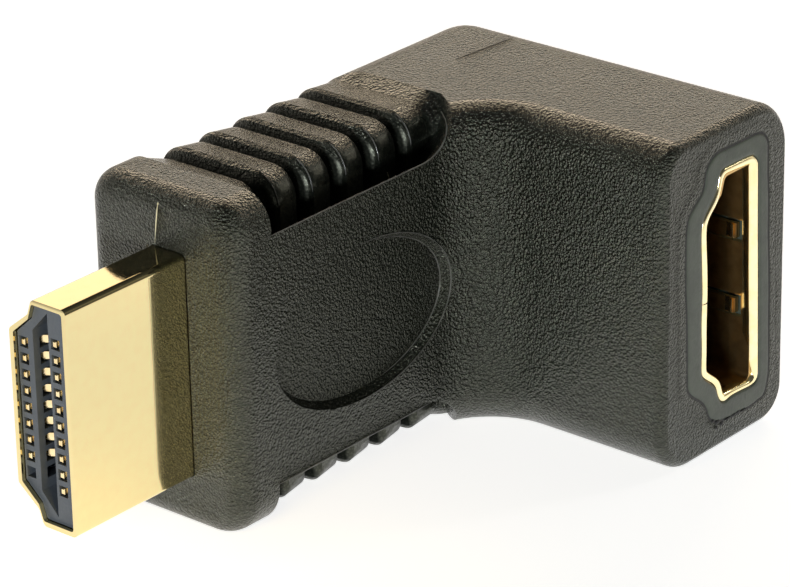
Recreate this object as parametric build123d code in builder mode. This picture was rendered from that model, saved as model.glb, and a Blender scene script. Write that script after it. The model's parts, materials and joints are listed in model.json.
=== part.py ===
import os

from build123d import *

os.makedirs("parts", exist_ok=True)

# Right-angle audio-video adapter: a plug leg along -X and a socket leg along -Y.
# Lengths are in millimetres. The adapter stands on its narrow L-shaped face, z = 0.
# The plug axis is y = 0 and the socket axis is x = 0, both at half the height.

# Outer moulding
body_height = 20.9
end_face_x = -28.0
socket_face_y = -19.8
back_y = 5.5
side_y = -5.95
right_x = 5.8
left_x = -6.6
outer_radius = 3.0
outer_top_radius = 3.3
outer_base_radius = 2.2
leg_edge_radius = 2.0
inner_corner_radius = 3.8
inner_top_radius = 2.1
inner_base_radius = 2.8
end_edge_radius = 1.5
face_edge_radius = 0.85
mid_z = body_height / 2

# Grip ribs wrapped round the plug leg
groove_count = 5
groove_pitch = 2.93
first_groove_x = -22.62
rib_drop = 0.28
rib_fall = 0.22
groove_depth = 1.1
groove_floor_half = 0.2
groove_mouth_half = 0.52
rib_rounding_drop = 0.16
rib_rounding_length = 0.26
collar_shoulder_length = 1.7
collar_shoulder_drop = 0.6
block_wall_foot_x = -8.1
block_wall_top_x = -6.9
rib_front_y = -3.95
rib_back_radius = 2.4
rib_front_radius = 2.2
rib_base_radius = 1.4
rib_clear_out = 2.2

# Proud side panel that stops the ribs
panel_top_z = 18.5
panel_base_z = 3.0
panel_start_x = -26.0
panel_rise_x = -11.6
panel_rise_radius = 3.2
panel_ledge_taper = 33
panel_inner_y = -2.0

# Oval recess in the side panel
oval_x = -17.0
oval_half_length = 7.85
oval_half_height = 4.9
oval_depth = 0.55
oval_wall_inset = 0.4

# Plug connector
plug_tip_x = -37.6
plug_width = 13.9
plug_thickness = 4.45
plug_narrow_inset = 2.2
plug_step_inset = 0.97
plug_straight = 2.6
plug_step_y = 2.92
plug_soft_radius = 0.35
shell_wall = 0.3
plug_rear_x = -21.2
fit_clearance = 0.05

# Plug insulator
plug_face_set = 0.3
insulator_stand_out = 0.6
slot_wide_y = -0.52
slot_narrow_y = 0.68
slot_play = 0.15
slot_taper = 1.3
slot_depth = 7.0
window_size = 0.66
window_depth = 1.6
wide_row_y = -1.03
narrow_row_y = 1.42

# Contacts, evenly spaced in each row between the shell's ends
row_end_margin = 2.45
wide_count = 10
narrow_count = 9
fitted_narrow_count = 8
contact_width = 0.45
contact_thickness = 0.26
contact_front_set = 0.62
bump_front_set = 0.95
bump_length = 2.2
bump_crest_start = 0.66
bump_crest_end = 1.32
bump_reach = 0.3
slot_lip = 0.5
spring_length = 5.2
channel_play = 0.05
tail_reach = 3.0
tail_jog_length = 1.0

# Circuit board between the two connectors
board_thickness = 0.8
board_stand_off = 0.6
board_right_x = 3.4
board_half_height = 7.2
board_hole_length = 0.6
board_hole_width = 0.5

# Socket connector
opening_play = 0.1
opening_narrow_inset = 2.25
opening_step_inset = 1.0
opening_straight = 2.75
opening_step_y = 3.1
opening_soft_radius = 0.35
lip_width = 0.62
lip_depth = 0.5
lip_soft_radius = 0.65
socket_wall = 0.3
socket_rear_y = -7.6
finger_centre_z = 2.42
finger_window_width = 1.4
finger_window_near = 0.9
finger_window_far = 5.6
finger_width = 0.95
finger_tip_gap = 0.35
finger_tip_length = 0.94
finger_dip = 0.2
seam_z = -0.31
seam_width = 0.06

# Socket insulator with its tongue
tongue_set = 2.7
tongue_half_thickness = 0.5
tongue_side_gap = 0.9
socket_block_front_y = -9.6
socket_block_rear_y = -6.6
socket_contact_thickness = 0.2
socket_contact_set = 0.5
socket_contact_reach = 0.03
socket_tail_end_y = 0.9

# Pin organiser behind the socket
organiser_half_thickness = 1.5
organiser_margin = 0.3

# Inner moulding
ring_right_x = 4.1
ring_left_x = -4.4
ring_half_height = 8.8
ring_straight_x = -1.25
ring_step_x = -2.5
ring_step_half = 7.05
ring_left_half = 5.2
ring_corner_radius = 0.8
mould_gap = 0.05
core_half_height = 7.3
core_half_thickness = 2.6
core_corner_radius = 0.8
core_front_x = -22.4
core_rear_y = 3.3
tail_pocket_half = 1.75
tail_pocket_half_height = 5.2

# Cuts run past the faces that they open, and edges are picked within a tolerance
overcut = 1.0
pick_tolerance = 0.01

# What follows from the values above
plug_half_width = plug_width / 2
pitch = (plug_width - 2 * row_end_margin) / (wide_count - 1)
opening_half_width = (plug_width + opening_play) / 2
opening_thickness = plug_thickness + opening_play
tongue_half_height = opening_half_width - tongue_side_gap
slot_wide_half = tongue_half_height + slot_play
slot_narrow_half = slot_wide_half - slot_taper
organiser_half_height = tongue_half_height + organiser_margin
plug_insulator_rear_x = plug_rear_x + insulator_stand_out
plug_tail_end_x = plug_insulator_rear_x + tail_reach
board_front_x = plug_insulator_rear_x + board_stand_off
board_half = board_thickness / 2
plug_shell_length = plug_rear_x - plug_tip_x
socket_shell_length = socket_rear_y - socket_face_y
panel_mid_z = (panel_top_z + panel_base_z) / 2
panel_half_height = (panel_top_z - panel_base_z) / 2
row_offset = tongue_half_thickness - socket_contact_thickness / 2 + socket_contact_reach


def plug_outline(offset):
    """Half-symmetric plug outline in the local (y, z) frame, grown by the offset."""
    wide = -plug_thickness / 2 - offset
    narrow = plug_thickness / 2 + offset
    half = plug_half_width + offset
    straight = -plug_thickness / 2 + plug_straight
    step = -plug_thickness / 2 + plug_step_y
    step_half = plug_half_width - plug_step_inset + offset
    narrow_half = plug_half_width - plug_narrow_inset + offset / 2
    return [
        (wide, -half),
        (straight, -half),
        (step, -step_half),
        (narrow, -narrow_half),
        (narrow, narrow_half),
        (step, step_half),
        (straight, half),
        (wide, half),
    ]


def opening_outline(offset):
    """Half-symmetric socket opening in the local (x, z) frame, grown by the offset."""
    wide = opening_thickness / 2 + offset
    narrow = -opening_thickness / 2 - offset
    half = opening_half_width + offset
    straight = opening_thickness / 2 - opening_straight
    step = opening_thickness / 2 - opening_step_y - offset / 2
    step_half = opening_half_width - opening_step_inset + offset
    narrow_half = opening_half_width - opening_narrow_inset + offset / 2
    return [
        (wide, -half),
        (straight, -half),
        (step, -step_half),
        (narrow, -narrow_half),
        (narrow, narrow_half),
        (step, step_half),
        (straight, half),
        (wide, half),
    ]


def rows(count):
    """Centred contact heights for a row of the given count."""
    return [mid_z + (index - (count - 1) / 2) * pitch for index in range(count)]


def across_plug(x):
    """Plane across the plug axis: local x runs along +Y and local y along +Z."""
    return Plane(origin=(x, 0, mid_z), x_dir=(0, 1, 0), z_dir=(1, 0, 0))


def across_socket(y):
    """Plane across the socket axis: local x runs along +X and local y along +Z."""
    return Plane(origin=(0, y, mid_z), x_dir=(1, 0, 0), z_dir=(0, -1, 0))


def level(z):
    """Horizontal plane at the given height."""
    return Plane(origin=(0, 0, z), x_dir=(1, 0, 0), z_dir=(0, 0, 1))


def side_plane(depth, centre_z):
    """Plane parallel to the side panel: local x runs along +X and local y along -Z."""
    return Plane(origin=(0, side_y + depth, centre_z), x_dir=(1, 0, 0), z_dir=(0, 1, 0))


def ring_outline(offset):
    """Outline of the inner moulding at the socket face in the local (x, z) frame."""
    right = ring_right_x + offset
    left = ring_left_x - offset
    half = ring_half_height + offset
    step_half = ring_step_half + offset
    left_half = ring_left_half + offset / 2
    return [
        (right, -half),
        (ring_straight_x - offset / 2, -half),
        (ring_step_x - offset / 2, -step_half),
        (left, -left_half),
        (left, left_half),
        (ring_step_x - offset / 2, step_half),
        (ring_straight_x - offset / 2, half),
        (right, half),
    ]


def contact_outline(row_y, wall_y, side):
    """Plug contact seen from above: beam, spring bump and the tail on the board."""
    outer = row_y - side * contact_thickness / 2
    inner = row_y + side * contact_thickness / 2
    crest = wall_y + side * bump_reach
    board_face = -side * board_half
    tail_outer = board_face - side * contact_thickness
    front = plug_tip_x + contact_front_set
    bump = plug_tip_x + bump_front_set
    rear = plug_insulator_rear_x
    jog = rear + tail_jog_length
    return [
        (front, outer),
        (rear, outer),
        (jog, tail_outer),
        (plug_tail_end_x, tail_outer),
        (plug_tail_end_x, board_face),
        (jog, board_face),
        (rear, inner),
        (bump + bump_length, inner),
        (bump + bump_crest_end, crest),
        (bump + bump_crest_start, crest),
        (bump, inner),
        (front, inner),
    ]


# Ribs: one comb-shaped section swept round the plug leg
crest_z = body_height - rib_drop
shoulder_start_x = first_groove_x - groove_mouth_half - collar_shoulder_length
comb = [
    (shoulder_start_x, body_height + rib_clear_out),
    (shoulder_start_x, body_height),
    (first_groove_x - groove_mouth_half, body_height - collar_shoulder_drop),
]
for index in range(groove_count):
    groove_x = first_groove_x + index * groove_pitch
    if index > 0:
        comb.append((groove_x - groove_mouth_half, crest_z - rib_fall))
    comb.append((groove_x - groove_floor_half, body_height - groove_depth))
    comb.append((groove_x + groove_floor_half, body_height - groove_depth))
    comb.append((groove_x + groove_mouth_half, crest_z - rib_rounding_drop))
    comb.append((groove_x + groove_mouth_half + rib_rounding_length, crest_z))
comb.append((block_wall_foot_x, crest_z - rib_rounding_drop))
comb.append((block_wall_top_x, body_height))
comb.append((block_wall_top_x, body_height + rib_clear_out))

path_front_y = rib_front_y - rib_drop
path_base_z = -rib_drop
rib_plane = Plane(origin=(first_groove_x, 0, 0), x_dir=(0, 1, 0), z_dir=(1, 0, 0))
with BuildPart() as rib_recess:
    with BuildLine(rib_plane) as rib_path:
        top_back = Line((0, body_height), (back_y - rib_back_radius, body_height))
        turn = JernArc(top_back @ 1, top_back % 1, rib_back_radius, -90)
        back = Line(turn @ 1, (back_y, path_base_z + rib_back_radius))
        turn = JernArc(back @ 1, back % 1, rib_back_radius, -90)
        base = Line(turn @ 1, (path_front_y + rib_base_radius, path_base_z))
        turn = JernArc(base @ 1, base % 1, rib_base_radius, -90)
        front = Line(turn @ 1, (path_front_y, body_height - rib_front_radius))
        turn = JernArc(front @ 1, front % 1, rib_front_radius, -90)
        Line(turn @ 1, top_back @ 0)
    with BuildSketch(Plane(origin=(0, 0, 0), x_dir=(1, 0, 0), z_dir=(0, -1, 0))):
        with BuildLine():
            Polyline(*comb, close=True)
        make_face()
    sweep(path=rib_path.wires()[0])
    # The side panel keeps its full face; its ledge falls away toward the ribs
    with BuildSketch(side_plane(0, panel_mid_z)) as panel_outline:
        with BuildLine():
            start = Line((panel_start_x, 0), (panel_start_x, panel_half_height))
            ledge = Line(start @ 1, (panel_rise_x, panel_half_height))
            rise = JernArc(ledge @ 1, ledge % 1, panel_rise_radius, 90)
            Polyline(rise @ 1, ((rise @ 1).X, body_height), (0, body_height), (0, 0))
            mirror(about=Plane.XZ)
        make_face()
    extrude(amount=panel_inner_y - side_y, taper=panel_ledge_taper, mode=Mode.SUBTRACT)
    extrude(panel_outline.sketch, amount=-rib_clear_out, mode=Mode.SUBTRACT)


def base_rim():
    """Edges of the block being built that lie in its lowest plane."""
    return edges().group_by(Axis.Z)[0]


def top_rim():
    """Edges of the block being built that lie in its highest plane."""
    return edges().group_by(Axis.Z)[-1]


def on_outer_rim(edge):
    """Whether an edge runs along the back or the right side."""
    middle = edge.center()
    return middle.Y > back_y - outer_radius or middle.X > right_x - pick_tolerance


def on_inner_rim(edge):
    """Whether an edge runs along the side panel, the inner corner or the socket leg."""
    middle = edge.center()
    beside_plug_leg = end_face_x + pick_tolerance < middle.X < left_x + pick_tolerance
    beside_socket_leg = socket_face_y + pick_tolerance < middle.Y < side_y + pick_tolerance
    return beside_plug_leg and beside_socket_leg


# Back of the plug leg, with tighter edges than the corner block
with BuildPart() as plug_leg_back:
    with BuildSketch(level(0)):
        with Locations(((end_face_x + block_wall_foot_x) / 2, back_y / 2)):
            Rectangle(block_wall_foot_x - end_face_x, back_y)
    extrude(amount=body_height)
    fillet((base_rim() + top_rim()).group_by(Axis.Y)[-1], leg_edge_radius)

# Outer moulding: an L-shaped block with soft edges
with BuildPart() as overmould_housing:
    with BuildSketch(level(0)):
        with BuildLine():
            Polyline(
                (end_face_x, side_y),
                (left_x, side_y),
                (left_x, socket_face_y),
                (right_x, socket_face_y),
                (right_x, back_y),
                (end_face_x, back_y),
                close=True,
            )
        make_face()
        fillet(vertices().sort_by_distance((left_x, side_y))[0], inner_corner_radius)
        fillet(vertices().sort_by_distance((right_x, back_y))[0], outer_radius)
    extrude(amount=body_height)
    fillet(top_rim().filter_by(on_outer_rim), outer_top_radius)
    fillet(base_rim().filter_by(on_outer_rim), outer_base_radius)
    fillet(top_rim().filter_by(on_inner_rim), inner_top_radius)
    fillet(base_rim().filter_by(on_inner_rim), inner_base_radius)
    add(plug_leg_back.part)
    fillet(faces().sort_by(Axis.X)[0].edges(), end_edge_radius)
    fillet(faces().sort_by(Axis.Y)[0].edges(), face_edge_radius)
    add(rib_recess.part, mode=Mode.SUBTRACT)
    # Oval recess with a sloping wall
    for depth, inset in ((0, 0), (oval_depth, oval_wall_inset)):
        with BuildSketch(side_plane(depth, mid_z)):
            with Locations((oval_x, 0)):
                Ellipse(oval_half_length - inset, oval_half_height - inset)
    loft(mode=Mode.SUBTRACT)
    # Room for the inner moulding, its core and the plug shell
    with BuildSketch(across_socket(core_rear_y + mould_gap)):
        with BuildLine():
            Polyline(*ring_outline(mould_gap), close=True)
        make_face()
        fillet(vertices(), ring_corner_radius + mould_gap)
    extrude(amount=core_rear_y + mould_gap - socket_face_y + overcut, mode=Mode.SUBTRACT)
    with BuildSketch(across_plug(core_front_x - mould_gap)):
        RectangleRounded(
            2 * (core_half_thickness + mould_gap),
            2 * (core_half_height + mould_gap),
            core_corner_radius + mould_gap,
        )
    extrude(amount=-core_front_x + mould_gap, mode=Mode.SUBTRACT)
    with BuildSketch(across_plug(end_face_x - overcut)):
        with BuildLine():
            Polyline(*plug_outline(mould_gap), close=True)
        make_face()
        fillet(vertices(), plug_soft_radius + mould_gap)
    extrude(amount=core_front_x - end_face_x + 2 * overcut, mode=Mode.SUBTRACT)

overmould_housing.part.label = "overmould_housing"
export_step(overmould_housing.part, "parts/overmould_housing.step")

# Plug shell: a drawn sleeve, open at both ends
with BuildPart() as plug_shell:
    with BuildSketch(across_plug(plug_tip_x)):
        with BuildLine():
            Polyline(*plug_outline(0), close=True)
        make_face()
        fillet(vertices(), plug_soft_radius)
    extrude(amount=plug_shell_length)
    with BuildSketch(across_plug(plug_tip_x)):
        with BuildLine():
            Polyline(*plug_outline(-shell_wall), close=True)
        make_face()
        fillet(vertices(), plug_soft_radius - shell_wall / 2)
    extrude(amount=plug_shell_length, mode=Mode.SUBTRACT)

plug_shell.part.label = "plug_shell"
export_step(plug_shell.part, "parts/plug_shell.step")

# Plug insulator: one slot for the mating tongue and a channel for every contact
plug_face_x = plug_tip_x + plug_face_set
pocket_start_x = plug_face_x + slot_lip
wide_heights = rows(wide_count)
narrow_heights = rows(narrow_count)
fitted_narrow_heights = narrow_heights[narrow_count - fitted_narrow_count:]

with BuildPart() as plug_insulator:
    with BuildSketch(across_plug(plug_face_x)):
        with BuildLine():
            Polyline(*plug_outline(-shell_wall - fit_clearance), close=True)
        make_face()
        fillet(vertices(), plug_soft_radius - shell_wall / 2)
    extrude(amount=plug_insulator_rear_x - plug_face_x)
    with BuildSketch(across_plug(plug_face_x)):
        with BuildLine():
            Polyline(
                (slot_wide_y, -slot_wide_half),
                (slot_narrow_y, -slot_narrow_half),
                (slot_narrow_y, slot_narrow_half),
                (slot_wide_y, slot_wide_half),
                close=True,
            )
        make_face()
    extrude(amount=slot_depth, mode=Mode.SUBTRACT)
    for row_y, heights, wall_y in (
        (wide_row_y, wide_heights, slot_wide_y),
        (narrow_row_y, narrow_heights, slot_narrow_y),
    ):
        spots = [(row_y, height - mid_z) for height in heights]
        with BuildSketch(across_plug(plug_face_x)):
            with Locations(*spots):
                Rectangle(window_size, window_size)
        extrude(amount=window_depth, mode=Mode.SUBTRACT)
        with BuildSketch(across_plug(plug_face_x)):
            with Locations(*spots):
                Rectangle(contact_thickness + 2 * channel_play, contact_width + 2 * channel_play)
        extrude(amount=plug_insulator_rear_x - plug_face_x, mode=Mode.SUBTRACT)
        pocket_spots = [((row_y + wall_y) / 2, height - mid_z) for height in heights]
        with BuildSketch(across_plug(pocket_start_x)):
            with Locations(*pocket_spots):
                Rectangle(abs(row_y - wall_y), window_size)
        extrude(amount=spring_length, mode=Mode.SUBTRACT)

plug_insulator.part.label = "plug_insulator"
export_step(plug_insulator.part, "parts/plug_insulator.step")

# Plug contacts: ten in the wide row, eight fitted in the narrow row
for name, heights, row_y, wall_y, side in (
    ("plug_contact_wide", wide_heights, wide_row_y, slot_wide_y, 1),
    ("plug_contact_narrow", fitted_narrow_heights, narrow_row_y, slot_narrow_y, -1),
):
    for number, height in enumerate(heights, start=1):
        with BuildPart() as plug_contact:
            with BuildSketch(level(height - contact_width / 2)):
                with BuildLine():
                    Polyline(*contact_outline(row_y, wall_y, side), close=True)
                make_face()
            extrude(amount=contact_width)
        plug_contact.part.label = f"{name}_{number:02d}"
        export_step(plug_contact.part, f"parts/{name}_{number:02d}.step")

# Circuit board joining the two connectors
board_length = board_right_x - board_front_x
socket_rows = ((row_offset, wide_heights), (-row_offset, narrow_heights))

with BuildPart() as circuit_board:
    with BuildSketch(across_socket(board_half)):
        with Locations(((board_front_x + board_right_x) / 2, 0)):
            Rectangle(board_length, 2 * board_half_height)
    extrude(amount=board_thickness)
    for row_x, heights in socket_rows:
        with BuildSketch(across_socket(board_half)):
            with Locations(*[(row_x, height - mid_z) for height in heights]):
                Rectangle(board_hole_width, board_hole_length)
        extrude(amount=board_thickness, mode=Mode.SUBTRACT)

circuit_board.part.label = "circuit_board"
export_step(circuit_board.part, "parts/circuit_board.step")

# Socket shell: sleeve with a flared lip, two spring fingers in each long wall and a seam
finger_root_y = socket_face_y + finger_window_far
finger_tip_y = socket_face_y + finger_window_near

with BuildPart() as receptacle_shell:
    with BuildSketch(across_socket(socket_rear_y)):
        with BuildLine():
            Polyline(*opening_outline(socket_wall), close=True)
        make_face()
        fillet(vertices(), opening_soft_radius + socket_wall / 2)
    extrude(amount=socket_shell_length)
    with BuildSketch(across_socket(socket_face_y + lip_depth)):
        with BuildLine():
            Polyline(*opening_outline(lip_width), close=True)
        make_face()
        fillet(vertices(), lip_soft_radius)
    extrude(amount=lip_depth)
    with BuildSketch(across_socket(socket_rear_y)):
        with BuildLine():
            Polyline(*opening_outline(0), close=True)
        make_face()
        fillet(vertices(), opening_soft_radius)
    extrude(amount=socket_shell_length, mode=Mode.SUBTRACT)
    # Finger windows in both long walls
    window_mid_y = (finger_root_y + finger_tip_y) / 2
    with Locations(
        (0, window_mid_y, mid_z + finger_centre_z),
        (0, window_mid_y, mid_z - finger_centre_z),
    ):
        Box(
            2 * (opening_thickness + socket_wall),
            finger_root_y - finger_tip_y,
            finger_window_width,
            mode=Mode.SUBTRACT,
        )
    # Fingers bow into the opening and turn out again at the tip
    finger_bow_y = finger_tip_y + finger_tip_length
    for side in (1, -1):
        wall_in = side * opening_thickness / 2
        wall_out = side * (opening_thickness / 2 + socket_wall)
        dip = side * finger_dip
        for height in (mid_z + finger_centre_z, mid_z - finger_centre_z):
            with BuildSketch(level(height - finger_width / 2)):
                with BuildLine():
                    Polyline(
                        (wall_in, finger_root_y),
                        (wall_out, finger_root_y),
                        (wall_out - dip, finger_bow_y),
                        (wall_out - dip / 2, finger_tip_y + finger_tip_gap),
                        (wall_in - dip / 2, finger_tip_y + finger_tip_gap),
                        (wall_in - dip, finger_bow_y),
                        close=True,
                    )
                make_face()
            extrude(amount=finger_width)
    # Butt seam in the narrow wall
    with Locations((-opening_thickness / 2, (socket_face_y + socket_rear_y) / 2, mid_z + seam_z)):
        Box(2 * (lip_width + socket_wall), socket_shell_length, seam_width, mode=Mode.SUBTRACT)

receptacle_shell.part.label = "receptacle_shell"
export_step(receptacle_shell.part, "parts/receptacle_shell.step")

# Socket insulator: rear block and a tongue with a groove for every contact
tongue_tip_y = socket_face_y + tongue_set
groove_bottom = row_offset - socket_contact_thickness / 2 - fit_clearance / 2

with BuildPart() as receptacle_insulator:
    with BuildSketch(across_socket(socket_block_rear_y)):
        with BuildLine():
            Polyline(*opening_outline(-fit_clearance), close=True)
        make_face()
        fillet(vertices(), opening_soft_radius)
    extrude(amount=socket_block_rear_y - socket_block_front_y)
    with BuildSketch(across_socket(socket_block_front_y)):
        Rectangle(2 * tongue_half_thickness, 2 * tongue_half_height)
    extrude(amount=socket_block_front_y - tongue_tip_y)
    for row_x, heights in socket_rows:
        side = 1 if row_x > 0 else -1
        groove_mid = side * (groove_bottom + tongue_half_thickness + socket_contact_reach) / 2
        groove_size = tongue_half_thickness + socket_contact_reach - groove_bottom
        spots = [(groove_mid, height - mid_z) for height in heights]
        with BuildSketch(across_socket(socket_block_rear_y)):
            with Locations(*spots):
                Rectangle(groove_size + fit_clearance, contact_width + 2 * channel_play)
        extrude(
            amount=socket_block_rear_y - tongue_tip_y - socket_contact_set + channel_play,
            mode=Mode.SUBTRACT,
        )

receptacle_insulator.part.label = "receptacle_insulator"
export_step(receptacle_insulator.part, "parts/receptacle_insulator.step")

# Socket contacts: straight pins from the tongue through the board
pin_front_y = tongue_tip_y + socket_contact_set
pin_length = socket_tail_end_y - pin_front_y

for name, row_x, heights in (
    ("receptacle_contact_wide", row_offset, wide_heights),
    ("receptacle_contact_narrow", -row_offset, narrow_heights),
):
    for number, height in enumerate(heights, start=1):
        with BuildPart() as receptacle_contact:
            with Locations((row_x, pin_front_y + pin_length / 2, height)):
                Box(socket_contact_thickness, pin_length, contact_width)
        receptacle_contact.part.label = f"{name}_{number:02d}"
        export_step(receptacle_contact.part, f"parts/{name}_{number:02d}.step")

# Pin organiser standing on the board behind the socket
with BuildPart() as pin_organiser:
    with BuildSketch(across_socket(-board_half)):
        Rectangle(2 * organiser_half_thickness, 2 * organiser_half_height)
    extrude(amount=-board_half - socket_block_rear_y)
    for row_x, heights in socket_rows:
        with BuildSketch(across_socket(-board_half)):
            with Locations(*[(row_x, height - mid_z) for height in heights]):
                Rectangle(
                    socket_contact_thickness + 2 * channel_play,
                    contact_width + 2 * channel_play,
                )
        extrude(amount=-board_half - socket_block_rear_y, mode=Mode.SUBTRACT)

pin_organiser.part.label = "pin_organiser"
export_step(pin_organiser.part, "parts/pin_organiser.step")

# Inner moulding: fills round the connectors and shows as a flush ring at the socket face
with BuildPart() as inner_mould:
    with BuildSketch(across_socket(core_rear_y)):
        with BuildLine():
            Polyline(*ring_outline(0), close=True)
        make_face()
        fillet(vertices(), ring_corner_radius)
    extrude(amount=core_rear_y - socket_face_y)
    with BuildSketch(across_plug(core_front_x)):
        RectangleRounded(2 * core_half_thickness, 2 * core_half_height, core_corner_radius)
    extrude(amount=-core_front_x)
    # Plug shell and insulator
    with BuildSketch(across_plug(core_front_x)):
        with BuildLine():
            Polyline(*plug_outline(mould_gap), close=True)
        make_face()
        fillet(vertices(), plug_soft_radius + mould_gap)
    extrude(amount=plug_insulator_rear_x - core_front_x, mode=Mode.SUBTRACT)
    # Board, tails and organiser
    board_mid_x = (board_front_x + board_right_x) / 2
    with Locations((board_mid_x, 0, mid_z)):
        Box(
            board_length + 2 * mould_gap,
            board_thickness + 2 * mould_gap,
            2 * (board_half_height + mould_gap),
            mode=Mode.SUBTRACT,
        )
    with Locations(((plug_insulator_rear_x + plug_tail_end_x) / 2, 0, mid_z)):
        Box(
            plug_tail_end_x - plug_insulator_rear_x + 2 * mould_gap,
            2 * tail_pocket_half,
            2 * (tail_pocket_half_height + mould_gap),
            mode=Mode.SUBTRACT,
        )
    with Locations((0, (socket_block_rear_y - board_half) / 2, mid_z)):
        Box(
            2 * (organiser_half_thickness + mould_gap),
            -board_half - socket_block_rear_y + 2 * mould_gap,
            2 * (organiser_half_height + mould_gap),
            mode=Mode.SUBTRACT,
        )
    with Locations((0, (board_half + socket_tail_end_y) / 2, mid_z)):
        Box(
            2 * (organiser_half_thickness + mould_gap),
            socket_tail_end_y - board_half + 2 * mould_gap,
            2 * (organiser_half_height + mould_gap),
            mode=Mode.SUBTRACT,
        )
    # Socket shell with its flared lip and finger travel
    with BuildSketch(across_socket(socket_block_rear_y + mould_gap)):
        with BuildLine():
            Polyline(*opening_outline(socket_wall + mould_gap), close=True)
        make_face()
        fillet(vertices(), opening_soft_radius + socket_wall / 2)
    extrude(amount=socket_block_rear_y + mould_gap - socket_face_y, mode=Mode.SUBTRACT)
    with BuildSketch(across_socket(socket_face_y + lip_depth + mould_gap)):
        with BuildLine():
            Polyline(*opening_outline(lip_width + mould_gap / 2), close=True)
        make_face()
        fillet(vertices(), lip_soft_radius)
    extrude(amount=lip_depth + mould_gap, mode=Mode.SUBTRACT)

inner_mould.part.label = "inner_mould"
export_step(inner_mould.part, "parts/inner_mould.step")
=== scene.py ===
# %% [markdown]
# A right-angle adapter, dressed for a studio picture
#
# The adapter is a black, grained moulding bent through ninety degrees. A gold plug
# stands out of one leg, and a gold socket sits in the other. Its construction comes
# ready made from the frame, in metres. This lesson gives it its surfaces, the small
# marks that a mould and a press leave, its lights and its camera.
#
# The first cell loads the frame and measures it. Every size on the adapter could be
# typed in, but the main ones are read off the frame's box, so that what is added
# later keeps to it. They are in millimetres, and MM turns them into metres.

# %% Load the frame and measure it
import json
import math
import random

import bpy
from mathutils import Matrix, Vector


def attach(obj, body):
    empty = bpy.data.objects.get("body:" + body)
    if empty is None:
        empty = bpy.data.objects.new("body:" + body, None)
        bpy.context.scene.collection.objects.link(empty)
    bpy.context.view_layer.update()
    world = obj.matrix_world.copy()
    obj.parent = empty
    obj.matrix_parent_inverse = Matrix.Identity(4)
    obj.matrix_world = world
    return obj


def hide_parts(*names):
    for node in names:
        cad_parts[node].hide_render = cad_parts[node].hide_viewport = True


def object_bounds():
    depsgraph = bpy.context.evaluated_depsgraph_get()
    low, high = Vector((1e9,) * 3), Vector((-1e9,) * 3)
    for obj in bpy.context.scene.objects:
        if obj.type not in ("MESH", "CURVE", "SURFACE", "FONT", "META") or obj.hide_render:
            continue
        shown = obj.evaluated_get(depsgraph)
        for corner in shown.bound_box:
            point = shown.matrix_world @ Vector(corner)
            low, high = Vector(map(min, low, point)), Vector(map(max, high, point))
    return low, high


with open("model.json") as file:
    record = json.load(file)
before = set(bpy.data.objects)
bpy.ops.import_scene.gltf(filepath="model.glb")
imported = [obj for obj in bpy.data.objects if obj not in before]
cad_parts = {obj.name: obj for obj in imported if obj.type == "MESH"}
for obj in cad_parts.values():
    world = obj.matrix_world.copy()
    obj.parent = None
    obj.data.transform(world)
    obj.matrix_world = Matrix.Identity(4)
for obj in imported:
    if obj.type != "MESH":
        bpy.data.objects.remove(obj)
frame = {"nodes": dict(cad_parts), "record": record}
cad_low, cad_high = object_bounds()
nodes = frame["nodes"]
MM = 0.001
PLUG_TIP_X = round(cad_low.x / MM, 3)
SOCKET_FACE_Y = round(cad_low.y / MM, 3)
TOP_Z = round(cad_high.z / MM, 3)
MID_Z = TOP_Z / 2
print("pieces:", len(nodes), "plug tip x:", PLUG_TIP_X)
print("socket face y:", SOCKET_FACE_Y, "top z:", TOP_Z)

# %% [markdown]
# The camera
#
# The adapter was pictured from its left front and a little above, through a long
# lens, so its upright edges stay nearly parallel. A camera can be turned by hand or
# made to track an object, but here its angles are known, and three turns say them
# exactly: round the object, up, and a slight roll. Its place is in metres.


# %% Put a thing in the scene
def put_in_scene(name, data):
    """An object that shows a mesh, a lamp or a camera."""
    thing = bpy.data.objects.new(name, data)
    bpy.context.scene.collection.objects.link(thing)
    return thing


# %% Camera
CAMERA_PLACE = Vector((-0.17737416, -0.14453279, 0.10654503))
CAMERA_AROUND = math.radians(-49.649)
CAMERA_UP = math.radians(24.008)
CAMERA_ROLL = math.radians(-1.175)
SENSOR_WIDTH = 36
LENS = 182.78
NEAREST_SEEN, FARTHEST_SEEN = 0.01, 10


def turned(around, up, roll):
    """The camera's axes as a rotation: first round the upright, then up, then rolled."""
    level_back = math.cos(up)
    back = Vector((math.sin(around) * level_back, -math.cos(around) * level_back, math.sin(up)))
    level = Vector((math.cos(around), math.sin(around), 0))
    right = math.cos(roll) * level + math.sin(roll) * back.cross(level)
    return Matrix((right, back.cross(right), back)).transposed()


camera_data = bpy.data.cameras.new("studio_camera")
camera_data.sensor_fit = "HORIZONTAL"
camera_data.sensor_width = SENSOR_WIDTH
camera_data.lens = LENS
camera_data.clip_start = NEAREST_SEEN
camera_data.clip_end = FARTHEST_SEEN
camera = put_in_scene("studio_camera", camera_data)
camera_turn = turned(CAMERA_AROUND, CAMERA_UP, CAMERA_ROLL)
camera.matrix_world = Matrix.Translation(CAMERA_PLACE) @ camera_turn.to_4x4()
bpy.context.scene.camera = camera
print("camera at", [round(v, 4) for v in camera.location])

# %% [markdown]
# Helpers for finishes
#
# A finish in Blender is a small tree of nodes that ends in a surface shader. Such a
# tree can be drawn by hand in the shader editor. Written in code it reads from top
# to bottom, and the same few steps serve every finish: start a material, add a node,
# take a value through a sum, a fade or a colour ramp, and raise a relief.


# %% Start a finish and add nodes
def new_finish(name):
    """A fresh material, its tree of nodes and its surface shader."""
    finish = bpy.data.materials.new(name)
    finish.use_nodes = True
    print("finish:", name)
    return finish, finish.node_tree, finish.node_tree.nodes["Principled BSDF"]


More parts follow.
